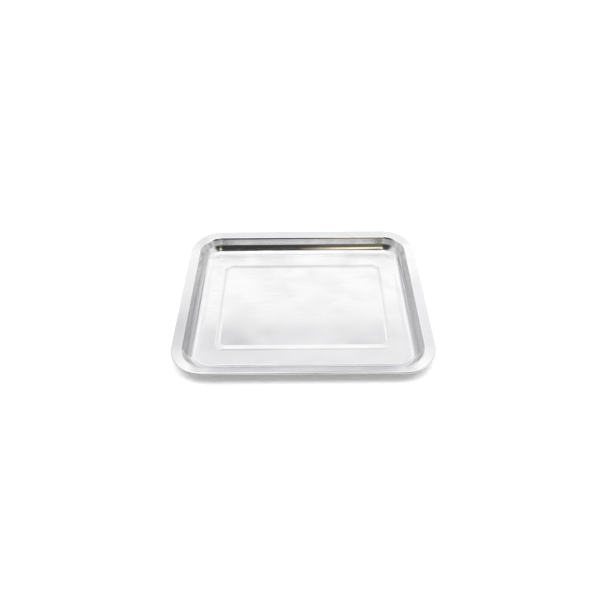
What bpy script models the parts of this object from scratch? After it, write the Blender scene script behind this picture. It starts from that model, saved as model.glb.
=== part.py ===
"""Shallow rectangular tray pressed from one sheet of stainless steel.

The sheet has a flat floor with a low raised panel in its middle, a leaning
wall that rises out of a wide soft cove, a flange that rises slightly outwards,
and an outer edge folded down and curled back up.  A round steel wire lies loose
inside the curl and stiffens the rim.

Frame: origin on the table under the tray's centre, +X along the long side,
+Y to the back, +Z up.  All lengths are in metres.
"""
import math
from collections import namedtuple

import bmesh
import bpy

# ---- driving dimensions ----------------------------------------------------
# Section sizes and bend radii are to the middle of the sheet unless noted.
TRAY_LENGTH = 0.325          # over the folded edge, along X
TRAY_WIDTH = 0.265           # over the folded edge, along Y
TRAY_HEIGHT = 0.0216         # table to the crest of the folded edge
SHEET = 0.0006               # sheet thickness
CORNER_RADIUS = 0.043        # outer edge of the rim, seen from above

# The folded edge, as arcs that each turn further over.
EDGE_ARCS = [
    # radius, turn in degrees, segments
    (0.0007, 95.0, 3),       # tight fold
    (0.0032, 20.0, 1),       # nearly straight skirt
    (0.00105, 82.0, 3),      # bottom of the curl
    (0.00115, 80.0, 3),      # return beside the wire
]
FLANGE_INNER = 0.0115        # from the outer edge in to the start of the top bend
FLANGE_RISE = math.radians(8.0)      # the flange climbs outwards

WALL_LEAN = math.radians(70.0)       # wall against the floor
TOP_BEND = 0.0025            # bend radius between flange and wall
COVE_BEND = 0.0150           # bend radius between wall and floor

PANEL_HALF_X = 0.1098        # to the middle of the panel's step
PANEL_HALF_Y = 0.0758
PANEL_CORNER = 0.0105
PANEL_RISE = 0.0009
PANEL_SLOPE = math.radians(8.0)      # steepest part of the step
PANEL_BEND = 0.0025          # bend radius at the step's top and foot

WIRE_DIAMETER = 0.0010
WIRE_INSET = 0.00147         # wire's middle, in from the outer edge
WIRE_DROP = 0.00151          # wire's middle, below the crest of the edge
WIRE_BUTT_GAP = 0.0015       # between the two cut ends, middle of the back

CORNER_SEGMENTS = 10
PANEL_BEND_SEGMENTS = 3      # in each of the step's two bends
TOP_BEND_SEGMENTS = 4
COVE_SEGMENTS = 8
SHARP_ANGLE = math.radians(40.0)     # edges that fold more than this shade sharp

FLOOR_Z = SHEET / 2          # middle of the sheet where it lies on the table

# A rounded rectangle: half its length and width, corner radius, height.
Ring = namedtuple("Ring", "half_x half_y radius z")
# A place on any ring: the signs of its corner and the direction from the
# middle of that corner's arc.
Anchor = namedtuple("Anchor", "sign_x sign_y toward_x toward_y")


# ---- rings and arcs --------------------------------------------------------
def rim_ring(inset, z):
    """Ring at an inset from the rim's outer edge."""
    return Ring(TRAY_LENGTH / 2 - inset, TRAY_WIDTH / 2 - inset,
                CORNER_RADIUS - inset, z)


def point_on_ring(anchor, ring):
    return (anchor.sign_x * (ring.half_x - ring.radius) + ring.radius * anchor.toward_x,
            anchor.sign_y * (ring.half_y - ring.radius) + ring.radius * anchor.toward_y,
            ring.z)


def anchor_of(point, ring):
    """Anchor of a point that lies on one of the ring's corner arcs."""
    sign_x = math.copysign(1.0, point.x)
    sign_y = math.copysign(1.0, point.y)
    from_x = point.x - sign_x * (ring.half_x - ring.radius)
    from_y = point.y - sign_y * (ring.half_y - ring.radius)
    distance = math.hypot(from_x, from_y)
    return Anchor(sign_x, sign_y, from_x / distance, from_y / distance)


def even_angles(start, end, segments):
    """Angles from start to end, both included."""
    return [start + (end - start) * i / segments for i in range(segments + 1)]


# ---- the sheet's section, from the panel out to the curled edge ------------
def panel_rings():
    """Rings of the raised panel's soft step, from its top down to the floor."""
    bend_drop = PANEL_BEND * (1.0 - math.cos(PANEL_SLOPE))
    flank = (PANEL_RISE - 2.0 * bend_drop) / math.sin(PANEL_SLOPE)
    half_step = PANEL_BEND * math.sin(PANEL_SLOPE) + flank * math.cos(PANEL_SLOPE) / 2

    section = []             # (distance out from the step's middle, height)
    for angle in even_angles(0.0, PANEL_SLOPE, PANEL_BEND_SEGMENTS):
        section.append((PANEL_BEND * math.sin(angle) - half_step,
                        FLOOR_Z + PANEL_RISE - PANEL_BEND * (1.0 - math.cos(angle))))
    for angle in even_angles(PANEL_SLOPE, 0.0, PANEL_BEND_SEGMENTS):
        section.append((half_step - PANEL_BEND * math.sin(angle),
                        FLOOR_Z + PANEL_BEND * (1.0 - math.cos(angle))))
    return [Ring(PANEL_HALF_X + out, PANEL_HALF_Y + out, PANEL_CORNER + out, z)
            for out, z in section]


def folded_edge():
    """The edge as (inset, height), from the flange outwards."""
    heading = FLANGE_RISE    # above the horizontal, looking outwards
    inset, z = 0.0, 0.0
    path = [(inset, z)]
    for radius, turn, segments in EDGE_ARCS:
        step = math.radians(turn) / segments
        chord = 2.0 * radius * math.sin(step / 2)
        for _ in range(segments):
            inset -= chord * math.cos(heading - step / 2)
            z += chord * math.sin(heading - step / 2)
            heading -= step
            path.append((inset, z))

    # Move the path so that the sheet's outer face meets the tray's overall size.
    shift_in = SHEET / 2 - min(inset for inset, z in path)
    shift_up = TRAY_HEIGHT - SHEET / 2 - max(z for inset, z in path)
    return [(inset + shift_in, z + shift_up) for inset, z in path]


def top_bend(edge_start):
    """The bend from flange to wall as (inset, height), from the flange inwards.

    The flange runs straight, inwards and slightly down, from edge_start.
    """
    edge_inset, edge_z = edge_start
    bend_z = edge_z - (FLANGE_INNER - edge_inset) * math.tan(FLANGE_RISE)
    # The bend's centre lies under the flange.
    centre_inset = FLANGE_INNER - TOP_BEND * math.sin(FLANGE_RISE)
    centre_z = bend_z - TOP_BEND * math.cos(FLANGE_RISE)
    return [(centre_inset + TOP_BEND * math.sin(angle),
             centre_z + TOP_BEND * math.cos(angle))
            for angle in even_angles(FLANGE_RISE, WALL_LEAN, TOP_BEND_SEGMENTS)]


def cove(wall_top):
    """The bend from wall to floor as (inset, height), from the wall inwards.

    The wall runs straight down from wall_top, and the bend lands flat.
    """
    top_inset, top_z = wall_top
    wall_drop = top_z - FLOOR_Z - COVE_BEND * (1.0 - math.cos(WALL_LEAN))
    wall_foot = top_inset + wall_drop / math.tan(WALL_LEAN)
    floor_start = wall_foot + COVE_BEND * math.sin(WALL_LEAN)
    return [(floor_start - COVE_BEND * math.sin(angle),
             FLOOR_Z + COVE_BEND * (1.0 - math.cos(angle)))
            for angle in even_angles(WALL_LEAN, 0.0, COVE_SEGMENTS)]


def rim_rings():
    """Rings from the floor out to the end of the curl.

    The section is worked from the folded edge inwards, then reversed.
    """
    edge = folded_edge()
    bend = top_bend(edge[0])
    inwards = edge[::-1] + bend + cove(bend[-1])
    return [rim_ring(inset, z) for inset, z in reversed(inwards)]


# ---- meshes and curves -----------------------------------------------------
def pressed_sheet(name, rings):
    """Start from the panel's flat top and draw its edge outwards, ring by ring."""
    first = rings[0]
    bm = bmesh.new()
    bmesh.ops.create_grid(bm, x_segments=1, y_segments=1, size=1.0)
    bmesh.ops.scale(bm, vec=(first.half_x, first.half_y, 1.0), verts=bm.verts)
    bmesh.ops.translate(bm, vec=(0.0, 0.0, first.z), verts=bm.verts)
    bmesh.ops.bevel(bm, geom=list(bm.verts), affect="VERTICES", offset=first.radius,
                    offset_type="OFFSET", segments=CORNER_SEGMENTS, profile=0.5)

    # Extruded vertices start on top of their sources, so position finds the anchor.
    anchors = {tuple(v.co): anchor_of(v.co, first) for v in bm.verts}
    border = [e for e in bm.edges if e.is_boundary]
    for ring in rings[1:]:
        grown = bmesh.ops.extrude_edge_only(bm, edges=border)["geom"]
        moved_anchors = {}
        for v in (g for g in grown if isinstance(g, bmesh.types.BMVert)):
            anchor = anchors[tuple(v.co)]
            v.co = point_on_ring(anchor, ring)
            moved_anchors[tuple(v.co)] = anchor
        anchors = moved_anchors
        border = [g for g in grown if isinstance(g, bmesh.types.BMEdge)]

    mesh = bpy.data.meshes.new(name)
    bm.to_mesh(mesh)
    bm.free()
    mesh.shade_smooth()
    mesh.set_sharp_from_angle(angle=SHARP_ANGLE)
    return mesh


def wire_path():
    """Once round the rim, anticlockwise from above, from butt end to butt end."""
    ring = rim_ring(WIRE_INSET, 0.0)
    points = [(-WIRE_BUTT_GAP / 2, ring.half_y, 0.0)]
    for quarter, (sign_x, sign_y) in enumerate([(-1, 1), (-1, -1), (1, -1), (1, 1)]):
        start = math.pi / 2 * (quarter + 1)
        for angle in even_angles(start, start + math.pi / 2, CORNER_SEGMENTS):
            anchor = Anchor(sign_x, sign_y, math.cos(angle), math.sin(angle))
            points.append(point_on_ring(anchor, ring))
    points.append((WIRE_BUTT_GAP / 2, ring.half_y, 0.0))
    return points


def round_wire(name, points):
    curve = bpy.data.curves.new(name, "CURVE")
    curve.dimensions = "3D"
    curve.bevel_depth = WIRE_DIAMETER / 2
    curve.bevel_resolution = 2
    curve.use_fill_caps = True
    spline = curve.splines.new("POLY")
    spline.points.add(len(points) - 1)
    for spline_point, position in zip(spline.points, points):
        spline_point.co = (*position, 1.0)
    return curve


# ---- scene -----------------------------------------------------------------
def steel(name, colour, roughness):
    material = bpy.data.materials.new(name)
    material.use_nodes = True
    shader = material.node_tree.nodes["Principled BSDF"]
    shader.inputs["Base Color"].default_value = (*colour, 1.0)
    shader.inputs["Metallic"].default_value = 1.0
    shader.inputs["Roughness"].default_value = roughness
    material.diffuse_color = (*colour, 1.0)
    return material


def add_piece(data, material, parent):
    """Object named after its mesh or curve."""
    piece = bpy.data.objects.new(data.name, data)
    data.materials.append(material)
    piece.parent = parent
    collection.objects.link(piece)
    return piece


for old in list(bpy.context.scene.objects):
    bpy.data.objects.remove(old, do_unlink=True)

collection = bpy.data.collections.new("developing_tray")
bpy.context.scene.collection.children.link(collection)

tray = bpy.data.objects.new("tray_origin", None)
tray.empty_display_size = 0.02
collection.objects.link(tray)

stainless = steel("pressed_stainless", colour=(0.78, 0.78, 0.77), roughness=0.24)
wire_steel = steel("rim_wire_steel", colour=(0.52, 0.52, 0.50), roughness=0.42)

sheet_mesh = pressed_sheet("tray_shell", panel_rings() + rim_rings())
tray_shell = add_piece(sheet_mesh, stainless, parent=tray)
thickness = tray_shell.modifiers.new("sheet_thickness", "SOLIDIFY")
thickness.thickness = SHEET
thickness.offset = 0.0       # half the thickness to each side
thickness.use_even_offset = True
thickness.use_quality_normals = True

rim_wire = add_piece(round_wire("rim_wire", wire_path()), wire_steel, parent=tray)
rim_wire.location = (0.0, 0.0, TRAY_HEIGHT - WIRE_DROP)
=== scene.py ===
"""Looks for the pressed steel tray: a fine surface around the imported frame, its
metal, and a plain white studio.

The tray lies flat, centred on the origin, with its long sides along X, its floor
near z = 0 and its rim up. The camera stands at the front (-Y), so +X is right.
"""

import functools
import math

import bmesh
import bpy
from mathutils import Matrix, Vector, noise


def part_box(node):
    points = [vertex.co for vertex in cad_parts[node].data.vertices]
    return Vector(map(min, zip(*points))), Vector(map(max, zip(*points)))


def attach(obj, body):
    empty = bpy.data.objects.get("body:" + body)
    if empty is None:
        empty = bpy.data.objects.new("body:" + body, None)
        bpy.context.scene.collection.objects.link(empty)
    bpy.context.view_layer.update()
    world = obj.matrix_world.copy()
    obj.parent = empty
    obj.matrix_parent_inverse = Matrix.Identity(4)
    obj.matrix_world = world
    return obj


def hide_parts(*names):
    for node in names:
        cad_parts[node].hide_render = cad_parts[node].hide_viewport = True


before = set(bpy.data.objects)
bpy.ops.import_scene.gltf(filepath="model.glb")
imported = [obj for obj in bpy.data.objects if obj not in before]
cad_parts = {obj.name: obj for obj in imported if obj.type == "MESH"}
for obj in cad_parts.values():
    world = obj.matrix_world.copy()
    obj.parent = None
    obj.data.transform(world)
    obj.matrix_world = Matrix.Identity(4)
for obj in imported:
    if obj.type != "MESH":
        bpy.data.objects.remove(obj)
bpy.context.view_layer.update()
scene = bpy.context.scene

MM = 0.001

# ---------------------------------------------------------------------------
# Sizes of the sheet; every bend radius is the mid-sheet one
# ---------------------------------------------------------------------------
box_low, box_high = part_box("tray_shell")
HALF_X = round((box_high.x - box_low.x) / 2, 4)
HALF_Y = round((box_high.y - box_low.y) / 2, 4)
HEIGHT = round(box_high.z, 4)
SHEET = 0.0006
CORNER = 0.043              # the outer edge's corner radius, seen from above
CURL_ARCS = (               # (radius, turn in degrees), from the flange outwards
    (0.0007, 95.0), (0.0032, 20.0), (0.00105, 82.0), (0.00115, 80.0))
FLANGE_INNER = 0.0115       # inset of the flange's inner end
FLANGE_RISE = math.radians(8.0)
WALL_LEAN = math.radians(70.0)
TOP_BEND = 0.0025
BOTTOM_BEND = 0.0150

# the raised panel in the floor, measured to the middle of its sloping step
PANEL_X, PANEL_Y, PANEL_R = 0.1098, 0.0758, 0.0105
PANEL_RISE = 0.0009
PANEL_SLOPE = math.radians(8.0)
PANEL_BEND = 0.0025

FLOOR_Z = SHEET / 2
PANEL_Z = SHEET / 2 + PANEL_RISE
CURL_SIDE_Z = HEIGHT - 0.0005   # below this the curl has turned down

# segments round the outline, then along the section
CORNER_SEG, SIDE_X_SEG, SIDE_Y_SEG = 28, 48, 40
PANEL_SEG, STEP_BEND_SEG, STEP_FLANK_SEG, FLOOR_SEG = 16, 6, 10, 11
BOTTOM_SEG, WALL_SEG, TOP_SEG, FLANGE_SEG, CURL_SEG = 20, 9, 9, 6, 10

# zone: (painted reflection mask, which darkens the colour to a bluish grey as a painted dimmer
# reflection; polish mask)
ZONE_REFLECTION_AND_POLISH = {
    "panel": (0.0, 0.0), "step": (0.6, 0.2), "floor": (0.0, 0.0), "bottom": (1.0, 0.9),
    "wall": (0.35, 1.0), "top": (0.1, 1.0), "flange": (1.0, 0.85), "bead": (0.5, 0.7)}

# painted shade patches, as darker reflections: (strength, x, y, spread along x, spread along y)
FLOOR_SHADE_PATCHES = ((0.12, -0.088, -0.060, 0.048, 0.030), (0.065, 0.076, -0.056, 0.032, 0.018))
PANEL_FRONT_SHADE_PATCHES = (
    (0.07, -0.098, -0.064, 0.020, 0.016),
    (0.05, -0.080, -0.0715, 0.034, 0.0050),
    (0.13, 0.083, -0.0715, 0.022, 0.0050))
LEFT_RIM_SHADE_PATCHES = ((0.13, -0.158, -0.058, 0.020, 0.034),)


# ---------------------------------------------------------------------------
# Shape of the sheet
# ---------------------------------------------------------------------------
def parts(count):
    return [i / count for i in range(1, count + 1)]


def bend(radius, angle):
    """(run, rise) of an arc that leaves the level and turns through angle."""
    return radius * math.sin(angle), radius * (1 - math.cos(angle))


def curl_path():
    """[(inset, height)] of the edge, which turns over, drops, and curls back up
    round the wire. It touches the tray's outer edge and top."""
    heading, x, z = FLANGE_RISE, 0.0, 0.0
    path = [(x, z)]
    for radius, turn in CURL_ARCS:
        step = math.radians(turn) / CURL_SEG
        chord = 2 * radius * math.sin(step / 2)
        for _ in range(CURL_SEG):
            x -= chord * math.cos(heading - step / 2)
            z += chord * math.sin(heading - step / 2)
            heading -= step
            path.append((x, z))
    shift_x = SHEET / 2 - min(x for x, z in path)
    shift_z = HEIGHT - SHEET / 2 - max(z for x, z in path)
    return [(x + shift_x, z + shift_z) for x, z in path]


def rim_section():
    """[(inset, height, zone)] from the floor out to the end of the curl."""
    curl = [(inset, z, "bead") for inset, z in curl_path()]
    start, start_z, _ = curl[0]
    flange = []
    for part in parts(FLANGE_SEG):
        inset = start + (FLANGE_INNER - start) * part
        flange.append((inset, start_z - (inset - start) * math.tan(FLANGE_RISE), "flange"))

    start, start_z, _ = flange[-1]
    centre = start - TOP_BEND * math.sin(FLANGE_RISE)
    centre_z = start_z - TOP_BEND * math.cos(FLANGE_RISE)
    top = []
    for part in parts(TOP_SEG):
        angle = FLANGE_RISE + (WALL_LEAN - FLANGE_RISE) * part
        top.append((centre + TOP_BEND * math.sin(angle),
                    centre_z + TOP_BEND * math.cos(angle), "top"))

    start, start_z, _ = top[-1]
    bottom_run, bottom_rise = bend(BOTTOM_BEND, WALL_LEAN)
    drop = start_z - FLOOR_Z - bottom_rise
    run = drop / math.tan(WALL_LEAN)
    wall = [(start + run * part, start_z - drop * part, "wall") for part in parts(WALL_SEG)]

    foot = wall[-1][0] + bottom_run
    bottom = []
    for part in parts(BOTTOM_SEG):
        run, rise = bend(BOTTOM_BEND, WALL_LEAN * (1 - part))
        bottom.append((foot - run, FLOOR_Z + rise, "bottom"))
    return (curl[::-1] + flange + top + wall + bottom)[::-1]


def panel_step():
    """[(offset from the step's middle, height)] from the panel's top to the floor."""
    bend_run, bend_drop = bend(PANEL_BEND, PANEL_SLOPE)
    flank = (PANEL_RISE - 2 * bend_drop) / math.sin(PANEL_SLOPE)
    flank_run, flank_drop = flank * math.cos(PANEL_SLOPE), flank * math.sin(PANEL_SLOPE)
    half = bend_run + flank_run / 2
    out = [(-half, PANEL_Z)]
    for part in parts(STEP_BEND_SEG):
        run, drop = bend(PANEL_BEND, PANEL_SLOPE * part)
        out.append((run - half, PANEL_Z - drop))
    for part in parts(STEP_FLANK_SEG)[:-1]:
        out.append((flank_run * (part - 0.5), FLOOR_Z + bend_drop + flank_drop * (1 - part)))
    for part in [0.0] + parts(STEP_BEND_SEG):
        run, rise = bend(PANEL_BEND, PANEL_SLOPE * (1 - part))
        out.append((half - run, FLOOR_Z + rise))
    return out


def rings():
    """Every ring of the sheet from the middle of the panel to the curl's end:
    (half length, half width, corner radius, height, zone)."""
    step = panel_step()
    offset = step[0][0]
    top_x, top_y, top_r = PANEL_X + offset, PANEL_Y + offset, PANEL_R + offset
    out = []
    for part in parts(PANEL_SEG):
        # the inner rings keep a round corner, so that no ring pinches
        radius = top_r * part + (1 - part) * top_y * part * 0.5
        out.append((top_x * part, top_y * part, radius, PANEL_Z, "panel"))
    for offset, z in step[1:]:
        out.append((PANEL_X + offset, PANEL_Y + offset, PANEL_R + offset, z, "step"))
    rim = [(HALF_X - inset, HALF_Y - inset, CORNER - inset, z, zone)
           for inset, z, zone in rim_section()]
    start, end = out[-1], rim[0]
    for part in parts(FLOOR_SEG)[:-1]:
        out.append(tuple(start[k] + (end[k] - start[k]) * part for k in range(4)) + ("floor",))
    return out + rim


def stations():
    """(centre factor x, centre factor y, direction x, direction y), once round."""
    out = []
    for quarter, (side_x, side_y) in enumerate([(1, 1), (-1, 1), (-1, -1), (1, -1)]):
        for i in range(CORNER_SEG):
            angle = math.pi / 2 * (quarter + i / CORNER_SEG)
            out.append((side_x, side_y, math.cos(angle), math.sin(angle)))
        angle = math.pi / 2 * (quarter + 1)
        along_x = quarter % 2 == 0
        count = SIDE_X_SEG if along_x else SIDE_Y_SEG
        for i in range(count):
            along = 1 - 2 * i / count
            centre = (side_x * along, side_y) if along_x else (side_x, side_y * along)
            out.append((*centre, math.cos(angle), math.sin(angle)))
    return out


def place_on(ring, station):
    half_x, half_y, radius, z, _ = ring
    centre_x, centre_y, out_x, out_y = station
    return Vector((centre_x * (half_x - radius) + radius * out_x,
                   centre_y * (half_y - radius) + radius * out_y, z))


def distances(points):
    """Running length along a row of points, from 0."""
    out = [0.0]
    for here, there in zip(points, points[1:]):
        out.append(out[-1] + math.dist(here, there))
    return out


# ---------------------------------------------------------------------------
# Unevenness and masks
# ---------------------------------------------------------------------------
def clamp(value):
    return max(0.0, min(1.0, value))


def ease(value):
    return value * value * (3 - 2 * value)


def wobble(x, y, scale, seed):
    return noise.noise(Vector((x / scale + seed, y / scale - seed, seed * 0.37)))


def relief(point, zone, fade):
    """Slight unevenness left by the press, in metres along Z."""
    x, y, _ = point
    if zone in ("panel", "step", "floor"):
        broad = 0.10 * MM * (wobble(x, y, scale=0.085, seed=3.1) + 0.25)
        fine = 0.030 * MM * wobble(x, y * 1.4, scale=0.034, seed=7.7)
        return (broad + fine) * fade
    if zone in ("flange", "bead", "top"):
        return 0.06 * MM * wobble(x, y, scale=0.075, seed=12.4)
    return 0.0


def bell(distance, spread):
    return math.exp(-(distance / spread) ** 2)


def patches(x, y, table):
    return sum(strength * math.exp(-((x - at_x) / spread_x) ** 2 - ((y - at_y) / spread_y) ** 2)
               for strength, at_x, at_y, spread_x, spread_y in table)


def painted_shade(point, zone):
    """How much painted shade darkens the sheet's colour, 0 to 1."""
    x, y, z = point
    if zone in ("panel", "floor"):
        # painted shade, as darker reflections, over the front of the floor, stronger in two wide
        # patches and, on the panel, along its front
        shade_amount = 0.055 * ease(clamp((-0.022 - y) / 0.030)) + patches(x, y, FLOOR_SHADE_PATCHES)
        if zone == "panel":
            shade_amount += patches(x, y, PANEL_FRONT_SHADE_PATCHES)
        mottle = wobble(x, y * 1.6, scale=0.030, seed=4.4) + 0.25
        return max(0.0, shade_amount * (0.85 + 0.6 * mottle))
    past_x, past_y = abs(x) - PANEL_X, abs(y) - PANEL_Y
    if zone == "step" and past_x > past_y:
        # painted shade: a thin dark line along the foot of the step at both ends, less at the
        # front
        fade = clamp((y + PANEL_Y - 0.002) / 0.012)
        line = 0.17 if x < 0 else 0.15
        return fade * (0.04 + line * bell(past_x - 0.0012, spread=0.0013))
    if zone == "step" and y < 0:
        # painted shade at the foot of the front step, darker to the left
        return 0.15 + 0.14 * clamp((-0.018 - x) / 0.030) if past_y > 0.0021 else 0.0
    if zone == "bead" and z < CURL_SIDE_Z:
        # painted shade on the curl as it turns under, darkest at the front left
        left = clamp((-0.085 - x) / 0.050) if y < 0 else 0.0
        return 0.14 + 0.20 * left + 0.28 * min(1.0, (CURL_SIDE_Z - z) / 0.0010)
    if zone in ("bead", "flange") and y < -0.129:
        # painted shade on the front rim
        return 0.28 * bell(x - 0.045, spread=0.060)
    if zone in ("flange", "top", "bead") and x < -0.140:
        # painted shade on the left rim, stronger in one patch
        return 0.04 + patches(x, y, LEFT_RIM_SHADE_PATCHES)
    return 0.0


def masks(point, station, zone):
    """{name: value} of one vertex's masks."""
    painted_reflection, polish = ZONE_REFLECTION_AND_POLISH[zone]
    drawn = zone in ("wall", "bottom")
    # the deep-drawn corners are less polished, and their flange gets less of the painted
    # reflection tone, a painted brighter reflection there
    corner = min(1.0, 6.0 * abs(station[2] * station[3]))
    return {"wall_mask": 1.0 if drawn else 0.0,
            "painted_reflection_mask": painted_reflection * (1.0 - 0.85 * corner * (zone == "flange")),
            "polish_mask": polish * (1.0 - 0.75 * corner * drawn),
            "painted_shade_mask": painted_shade(point, zone)}


def pressed_tray():
    ring_list, around = rings(), stations()
    count = len(around)
    bm = bmesh.new()
    sheet_uv = bm.loops.layers.uv.new("sheet")
    layers = {name: bm.verts.layers.float.new(name)
              for name in ("wall_mask", "painted_reflection_mask", "polish_mask", "painted_shade_mask")}

    # the floor's relief fades out towards the bottom bend
    floor_x, floor_y = next(ring for ring in ring_list if ring[4] == "bottom")[:2]
    grid = []
    for ring in ring_list:
        zone = ring[4]
        row = []
        for station in around:
            point = place_on(ring, station)
            edge = max(abs(point.x) / floor_x, abs(point.y) / floor_y)
            point.z += relief(point, zone, ease(clamp((1.0 - edge) / 0.10)))
            vert = bm.verts.new(point)
            for name, value in masks(point, station, zone).items():
                vert[layers[name]] = value
            row.append(vert)
        grid.append(row)

    # distances for the wall's draw marks: round the rim, and down the section
    outer = [place_on(ring_list[-1], station) for station in around]
    girth = distances(outer + outer[:1])
    depth = distances([(ring[1], ring[3]) for ring in ring_list])
    for j in range(len(grid) - 1):
        for i in range(count):
            k = (i + 1) % count
            face = bm.faces.new((grid[j][i], grid[j + 1][i], grid[j + 1][k], grid[j][k]))
            corners = ((i, j), (i, j + 1), (i + 1, j + 1), (i + 1, j))
            for loop, (across, down) in zip(face.loops, corners):
                loop[sheet_uv].uv = (girth[across], depth[down])
    cap = bm.faces.new(grid[0])
    bmesh.ops.poke(bm, faces=[cap])
    bm.normal_update()
    mesh = bpy.data.meshes.new("pressed_tray")
    bm.to_mesh(mesh)
    bm.free()
    mesh.shade_smooth()
    tray = bpy.data.objects.new("pressed_tray", mesh)
    scene.collection.objects.link(tray)
    solid = tray.modifiers.new("sheet_thickness", "SOLIDIFY")
    solid.thickness = SHEET
    solid.offset = 0.0
    solid.use_even_offset = True
    solid.use_quality_normals = True
    return tray


# ---------------------------------------------------------------------------
# Node helpers
# ---------------------------------------------------------------------------
class Nodes:
    """Short calls that add nodes to one tree. A value may be a number, a tuple or
    another node's output."""

    def __init__(self, tree):
        self.tree = tree

    def feed(self, socket, value):
        if isinstance(value, bpy.types.NodeSocket):
            self.tree.links.new(value, socket)
        elif socket.type == "RGBA":
            socket.default_value = (*value, 1.0)
        else:
            socket.default_value = value

    def fill(self, node, **values):
        """Sets a node's properties, and its inputs with _ for each space."""
        for key, value in values.items():
            if hasattr(node, key):
                setattr(node, key, value)
            else:
                self.feed(node.inputs[key.replace("_", " ")], value)

    def node(self, kind, **values):
        made = self.tree.nodes.new(kind)
        self.fill(made, **values)
        return made

    def mask(self, name):
        return self.node("ShaderNodeAttribute", attribute_name=name).outputs["Fac"]

    def noise(self, source, scale, detail, rough=0.5, distortion=0.0, turn=0.0, shift=(0, 0, 0)):
        """Noise stretched by a scale for each axis; turn is in radians."""
        mapped = self.node("ShaderNodeMapping", Vector=source, Scale=scale,
                           Rotation=(0, 0, turn), Location=shift)
        return self.node("ShaderNodeTexNoise", Vector=mapped.outputs["Vector"], Scale=1.0,
                         Detail=detail, Roughness=rough, Distortion=distortion).outputs["Fac"]

    def ramp(self, value, span, to=(0.0, 1.0)):
        """Eases from to[0] to to[1] as the value crosses the span."""
        return self.node("ShaderNodeMapRange", interpolation_type="SMOOTHSTEP", Value=value,
                         From_Min=span[0], From_Max=span[1],
                         To_Min=to[0], To_Max=to[1]).outputs["Result"]

    def calc(self, operation, *operands):
        made = self.node("ShaderNodeMath", operation=operation)
        for socket, value in zip(made.inputs, operands):
            self.feed(socket, value)
        return made.outputs["Value"]

    def times(self, *factors):
        return functools.reduce(lambda a, b: self.calc("MULTIPLY", a, b), factors)

    def scaled(self, value, by, plus):
        return self.calc("MULTIPLY_ADD", value, by, plus)

    def invert(self, value):
        return self.calc("SUBTRACT", 1.0, value)

    def window(self, value, low, high, soft):
        """1 between low and high, with soft edges."""
        return self.times(self.ramp(value, span=(low - soft, low + soft)),
                          self.invert(self.ramp(value, span=(high - soft, high + soft))))

    def mix(self, factor, first, second):
        made = self.node("ShaderNodeMix", data_type="RGBA")
        for index, value in ((0, factor), (6, first), (7, second)):
            self.feed(made.inputs[index], value)
        return made.outputs[2]

    def mix_shader(self, factor, first, second):
        made = self.node("ShaderNodeMixShader", Fac=factor)
        self.feed(made.inputs[1], first)
        self.feed(made.inputs[2], second)
        return made.outputs["Shader"]

    def bumps(self, *layers):
        """Bumps laid one on another, each (height, strength, distance)."""
        below = {}
        for height, strength, distance in layers:
            made = self.node("ShaderNodeBump", Height=height, Strength=strength,
                             Distance=distance, **below)
            below = {"Normal": made.outputs["Normal"]}
        return below["Normal"]

    def colour_ramp(self, value, stops):
        """Stops are (position, brightness) or (position, brightness, tint)."""
        made = self.node("ShaderNodeValToRGB", Fac=value)
        made.color_ramp.interpolation = "LINEAR"
        elements = made.color_ramp.elements
        while len(elements) > 1:
            elements.remove(elements[-1])
        elements[0].position = stops[0][0]
        for i, (position, *shade) in enumerate(stops):
            element = elements.new(position) if i else elements[0]
            element.color = (*grey(*shade), 1.0)
        return made.outputs["Color"]


def grey(brightness, tint=(1.0, 1.0, 1.0)):
    return tuple(brightness * channel for channel in tint)


def new_material(name):
    material = bpy.data.materials.new(name)
    material.use_nodes = True
    mat = Nodes(material.node_tree)
    return material, mat, mat.tree.nodes["Principled BSDF"]


# ---------------------------------------------------------------------------
# Metals
# ---------------------------------------------------------------------------
# (angle in degrees, scale along, scale across, noise level they start at, shift)
SCRATCHES = (
    (9, 14, 900, 0.74, (1.0, 2.0, 0.0)),
    (-31, 18, 1000, 0.76, (5.0, 1.0, 0.0)),
    (64, 16, 1000, 0.77, (2.0, 7.0, 0.0)),
    (100, 20, 1100, 0.77, (8.0, 3.0, 0.0)))


def scratch_marks(mat, place):
    """Fine straight scratches in four directions, broken into patches."""
    sets = []
    for angle, along, across, cut, shift in SCRATCHES:
        lines = mat.noise(place, scale=(along, across, across), detail=0.0,
                          turn=math.radians(angle), shift=shift)
        patch = mat.noise(place, scale=(60.0, 60.0, 60.0), detail=1.0, shift=shift)
        sets.append(mat.times(mat.ramp(lines, span=(cut, cut + 0.03)),
                              mat.ramp(patch, span=(0.50, 0.60))))
    return functools.reduce(lambda a, b: mat.calc("MAXIMUM", a, b), sets)


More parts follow.
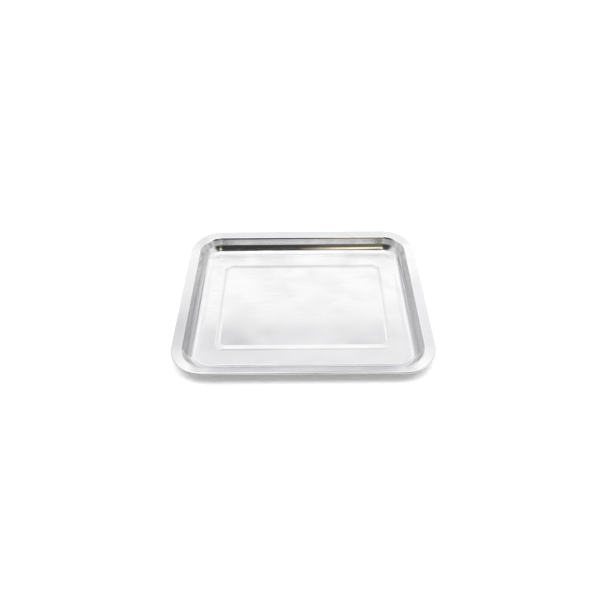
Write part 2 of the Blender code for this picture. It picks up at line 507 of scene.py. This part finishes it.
def stainless_material():
    material, mat, shader = new_material("pressed_stainless")
    place = mat.node("ShaderNodeTexCoord").outputs["Object"]
    sheet_uv = mat.node("ShaderNodeUVMap", uv_map="sheet").outputs["UV"]
    wall = mat.mask("wall_mask")

    # rolling grain: very long, very fine lines along the sheet
    grain = mat.noise(place, scale=(14.0, 1500.0, 1500.0), detail=2.0, rough=0.6)
    grain_fine = mat.noise(place, scale=(40.0, 4200.0, 4200.0), detail=1.0)
    # draw marks: long fine streaks that run round the wall
    draw = mat.noise(sheet_uv, scale=(30.0, 1400.0, 1.0), detail=2.0, rough=0.6)
    draw_wide = mat.noise(sheet_uv, scale=(22.0, 420.0, 1.0), detail=2.0)
    # cloudy wipe marks and water haze
    haze = mat.noise(place, scale=(9.0, 22.0, 9.0), detail=4.0, rough=0.62, distortion=0.8,
                     turn=math.radians(-24))
    cloud = mat.noise(place, scale=(20.0, 26.0, 20.0), detail=3.0, distortion=0.4,
                      turn=0.3, shift=(3.0, 1.0, 0.0))
    scratch = scratch_marks(mat, place)

    # colour: clouds, then haze, the painted reflection tone on the flange and bends, draw marks,
    # and painted shade over them
    base = mat.mix(mat.ramp(cloud, span=(0.35, 0.70)),
                   (0.803, 0.803, 0.803), (0.766, 0.767, 0.770))
    for amount, colour in (
            (mat.times(mat.ramp(haze, span=(0.52, 0.72)), 0.35), (0.76, 0.745, 0.72)),
            # painted reflection: flange and bends darkened to a bluish grey
            (mat.times(mat.mask("painted_reflection_mask"), 0.25), (0.65, 0.655, 0.68)),
            (mat.times(mat.ramp(draw_wide, span=(0.50, 0.68)), wall, 0.35), (0.60, 0.60, 0.62)),
            # painted shade: near-black mixed in where the painted shade mask is set
            (mat.mask("painted_shade_mask"), (0.02, 0.02, 0.03))):
        base = mat.mix(amount, base, colour)

    rough = mat.scaled(mat.ramp(cloud, span=(0.3, 0.7)), by=0.04, plus=0.17)
    rough = mat.scaled(mat.mask("polish_mask"), by=-0.08, plus=rough)
    rough = mat.calc("ADD", rough, mat.ramp(haze, span=(0.45, 0.75), to=(0.0, 0.07)))
    rough = mat.calc("ADD", rough, mat.ramp(grain, span=(0.3, 0.7), to=(-0.02, 0.02)))
    rough = mat.scaled(scratch, by=0.10, plus=rough)
    rough = mat.scaled(mat.times(wall, mat.ramp(draw, span=(0.45, 0.7))), by=0.04, plus=rough)

    normal = mat.bumps((grain, 0.20, 0.00002), (grain_fine, 0.10, 0.00001),
                       (mat.times(draw, wall), 0.15, 0.00002),
                       (mat.times(scratch, -1.0), 0.35, 0.00002))
    mat.fill(shader, Base_Color=base, Roughness=rough, Normal=normal, Metallic=1.0)
    material.diffuse_color = (0.78, 0.78, 0.77, 1.0)
    return material


def wire_material():
    """Duller, spotted steel with fine marks."""
    material, mat, shader = new_material("rim_wire_steel")
    place = mat.node("ShaderNodeTexCoord").outputs["Object"]
    spots = mat.noise(place, scale=(400.0, 400.0, 400.0), detail=4.0, rough=0.6)
    marks = mat.noise(place, scale=(60.0, 60.0, 2600.0), detail=2.0)
    base = mat.mix(mat.ramp(spots, span=(0.45, 0.70)), (0.50, 0.50, 0.49), (0.30, 0.28, 0.25))
    rough = mat.calc("ADD", mat.ramp(spots, span=(0.3, 0.7), to=(0.36, 0.56)),
                     mat.ramp(marks, span=(0.3, 0.7), to=(-0.04, 0.04)))
    mat.fill(shader, Base_Color=base, Roughness=rough, Metallic=1.0,
             Normal=mat.bumps((marks, 0.3, 0.00002)))
    return material


# ---------------------------------------------------------------------------
# Studio
# ---------------------------------------------------------------------------
BACKDROP_STRENGTH = 1.05


def floor_material():
    """A matt table that runs out into the white of the backdrop."""
    material, mat, shader = new_material("studio_floor")
    mat.fill(shader, Base_Color=(0.86, 0.86, 0.86), Roughness=0.9, Specular_IOR_Level=0.1)
    place = mat.node("ShaderNodeTexCoord").outputs["Object"]
    far = mat.node("ShaderNodeVectorMath", operation="LENGTH", Vector=place).outputs["Value"]
    white = mat.node("ShaderNodeEmission", Color=(1.0, 1.0, 1.0), Strength=BACKDROP_STRENGTH)
    surface = mat.mix_shader(mat.ramp(far, span=(1.2, 2.6)),
                             shader.outputs["BSDF"], white.outputs["Emission"])
    mat.fill(mat.tree.nodes["Material Output"], Surface=surface)
    return material


def studio_floor():
    bm = bmesh.new()
    bmesh.ops.create_grid(bm, x_segments=8, y_segments=8, size=6.0)
    mesh = bpy.data.meshes.new("studio_floor")
    bm.to_mesh(mesh)
    bm.free()
    floor = bpy.data.objects.new("studio_floor", mesh)
    floor.location.z = -0.0003
    scene.collection.objects.link(floor)
    mesh.materials.append(floor_material())
    return floor


# In the dome, height is the sine of the elevation and turns are in degrees,
# positive to the right (+X).
COOL = (0.996, 0.997, 1.014)
BEHIND_STOPS = (
    (0.00, 0.98), (0.30, 1.04), (0.50, 1.11), (0.59, 1.20), (0.62, 1.34), (0.65, 1.34),
    (0.67, 1.27), (0.70, 1.23), (0.73, 1.16), (0.745, 1.11, COOL), (0.762, 1.06, COOL),
    (0.785, 1.05, COOL), (0.80, 1.06, COOL), (0.825, 1.08, COOL), (0.87, 1.14),
    (0.93, 1.26), (0.97, 1.32), (1.00, 1.34))
CAMERA_SIDE_STOPS = (
    (0.00, 0.50), (0.05, 0.42), (0.12, 0.07), (0.30, 0.045), (0.90, 0.055),
    (0.945, 0.08), (0.966, 0.42), (0.979, 1.3), (1.00, 1.34))
UPRIGHTS = ((42.8, 0.37, 0.34), (-42.0, 0.35, 0.50))    # (turn, height, brightness)


def behind_sky(dome, height, turn):
    """The bright half behind the tray."""
    sky = dome.colour_ramp(height, BEHIND_STOPS)
    turn_abs = dome.calc("ABSOLUTE", turn)
    # grey screen straight behind
    screen = dome.times(dome.window(turn_abs, low=-20.0, high=12.8, soft=1.2),
                        dome.window(height, low=0.520, high=0.613, soft=0.016))
    sky = dome.mix(screen, sky, grey(0.55, tint=(0.98, 0.96, 1.06)))
    # the room falls off to both sides
    side = dome.times(dome.ramp(turn_abs, span=(35.0, 39.0)),
                      dome.window(height, low=0.46, high=0.66, soft=0.06))
    sky = dome.mix(side, sky, grey(0.97))
    low_side = dome.times(dome.ramp(turn_abs, span=(44.8, 48.2)),
                          dome.invert(dome.ramp(height, span=(0.40, 0.54))))
    sky = dome.mix(low_side, sky, grey(0.68, tint=(0.98, 0.98, 1.02)))
    # a bright strip on the right, then a dark upright on each side
    strip = dome.times(dome.window(turn, low=33.0, high=38.4, soft=1.6),
                       dome.window(height, low=0.27, high=0.47, soft=0.05))
    sky = dome.mix(strip, sky, grey(1.42))

    def squared(value, centre, half):
        away = dome.calc("SUBTRACT", value, centre)
        return dome.calc("POWER", dome.calc("DIVIDE", away, half), 2.0)

    for centre, centre_height, brightness in UPRIGHTS:
        reach = dome.calc("ADD", squared(turn, centre, half=4.4),
                          squared(height, centre_height, half=0.09))
        upright = dome.invert(dome.ramp(reach, span=(0.4, 1.5)))
        sky = dome.mix(upright, sky, grey(brightness, tint=(0.97, 0.97, 1.03)))
    return sky


def camera_side_sky(dome, height, turn):
    """The half on the camera's side, dark until nearly overhead. Turn 0 is straight
    towards the front."""
    sky = dome.colour_ramp(height, CAMERA_SIDE_STOPS)
    low = dome.times(dome.ramp(dome.calc("ABSOLUTE", turn), span=(7.2, 9.0)),
                     dome.invert(dome.ramp(height, span=(0.06, 0.14))))
    sky = dome.mix(low, sky, grey(0.10, tint=(1.05, 1.0, 0.9)))
    # a narrow bright strip overhead, just above the dark side
    strip = dome.times(
        dome.window(height, low=0.974, high=0.993, soft=0.004),
        dome.invert(dome.ramp(dome.calc("ABSOLUTE", turn), span=(50.0, 70.0))))
    sky = dome.mix(strip, sky, grey(1.95))
    # a brown wall and a warm lamp to the right of the camera
    brown = dome.times(dome.ramp(turn, span=(-1.0, 5.0)),
                       dome.invert(dome.ramp(turn, span=(12.0, 15.0))),
                       dome.window(height, low=0.08, high=0.95, soft=0.04))
    sky = dome.mix(brown, sky, (0.20, 0.175, 0.125))
    lamp = dome.times(dome.ramp(turn, span=(1.5, 8.0)),
                      dome.invert(dome.ramp(turn, span=(13.0, 17.0))),
                      dome.window(height, low=0.66, high=0.90, soft=0.05))
    sky = dome.mix(lamp, sky, (1.75, 1.61, 1.22))
    # the room is light beyond the dark part, to the right and to the left
    sky = dome.mix(dome.ramp(turn, span=(34.0, 54.0)), sky, grey(1.0, tint=(1.0, 0.99, 0.975)))
    return dome.mix(dome.ramp(dome.times(turn, -1.0), span=(40.0, 68.0)), sky,
                    grey(0.95, tint=(1.0, 0.985, 0.97)))


def studio_world():
    """Reflections see the dome, diffuse light an even fill, the camera plain white."""
    world = bpy.data.worlds.new("studio")
    scene.world = world
    world.use_nodes = True
    dome = Nodes(world.node_tree)
    dome.tree.nodes.clear()

    toward = dome.node("ShaderNodeTexCoord").outputs["Generated"]
    axes = dome.node("ShaderNodeSeparateXYZ", Vector=toward).outputs
    degrees = 180.0 / math.pi
    turn = dome.times(dome.calc("ARCTAN2", axes["X"], axes["Y"]), degrees)
    front_turn = dome.times(
        dome.calc("ARCTAN2", axes["X"], dome.times(axes["Y"], -1.0)), degrees)
    sky = dome.mix(dome.ramp(axes["Y"], span=(-0.20, 0.0)),
                   camera_side_sky(dome, axes["Z"], front_turn),
                   behind_sky(dome, axes["Z"], turn))

    def background(colour, strength):
        return dome.node("ShaderNodeBackground", Color=colour,
                         Strength=strength).outputs["Background"]

    ray = dome.node("ShaderNodeLightPath").outputs
    lighting = dome.mix_shader(ray["Is Diffuse Ray"], background(sky, strength=1.0),
                               background((1.0, 0.995, 0.985), strength=0.83))
    surface = dome.mix_shader(ray["Is Camera Ray"], lighting,
                              background((1.0, 1.0, 1.0), strength=BACKDROP_STRENGTH))
    dome.node("ShaderNodeOutputWorld", Surface=surface)


def overhead_key():
    """Wide softbox aimed at the origin, hidden from reflections."""
    light = bpy.data.lights.new("overhead_key", "AREA")
    light.shape = "RECTANGLE"
    light.size, light.size_y = 3.0, 1.10
    light.energy = 60.0
    key = bpy.data.objects.new("overhead_key", light)
    key.location = (0.0, -0.34, 2.4)
    key.rotation_euler = (-Vector((0.0, -0.34, 2.4))).to_track_quat("-Z", "Y").to_euler()
    key.visible_glossy = False
    scene.collection.objects.link(key)


# ---------------------------------------------------------------------------
# Camera
# ---------------------------------------------------------------------------
LENS, SENSOR = 31.938, 36.0     # millimetres
DISTANCE = 0.7380
ELEVATION, YAW, ROLL = math.radians(45.977), math.radians(0.392), math.radians(-0.708)
TARGET = Vector((-0.003725, 0.008389, 0.0))


def add_camera():
    away = Vector((math.sin(YAW) * math.cos(ELEVATION), -math.cos(YAW) * math.cos(ELEVATION),
                   math.sin(ELEVATION)))
    level = Vector((math.cos(YAW), math.sin(YAW), 0.0))
    upward = away.cross(level)
    right = level * math.cos(ROLL) + upward * math.sin(ROLL)
    up = -level * math.sin(ROLL) + upward * math.cos(ROLL)
    data = bpy.data.cameras.new("camera")
    data.sensor_width = SENSOR
    data.lens = LENS
    data.clip_start = 0.01
    camera = bpy.data.objects.new("camera", data)
    turned = Matrix((right, up, away)).transposed().to_4x4()
    camera.matrix_world = Matrix.Translation(TARGET + away * DISTANCE) @ turned
    scene.collection.objects.link(camera)
    scene.camera = camera


# ---------------------------------------------------------------------------
# Build
# ---------------------------------------------------------------------------
tray = pressed_tray()
tray.data.materials.append(stainless_material())
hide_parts("tray_shell")
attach(tray, "root")

wire_steel = wire_material()
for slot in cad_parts["rim_wire"].material_slots:
    slot.material = wire_steel

studio_floor()
studio_world()
overhead_key()
add_camera()
scene.view_settings.view_transform = "Standard"
scene.view_settings.look = "None"
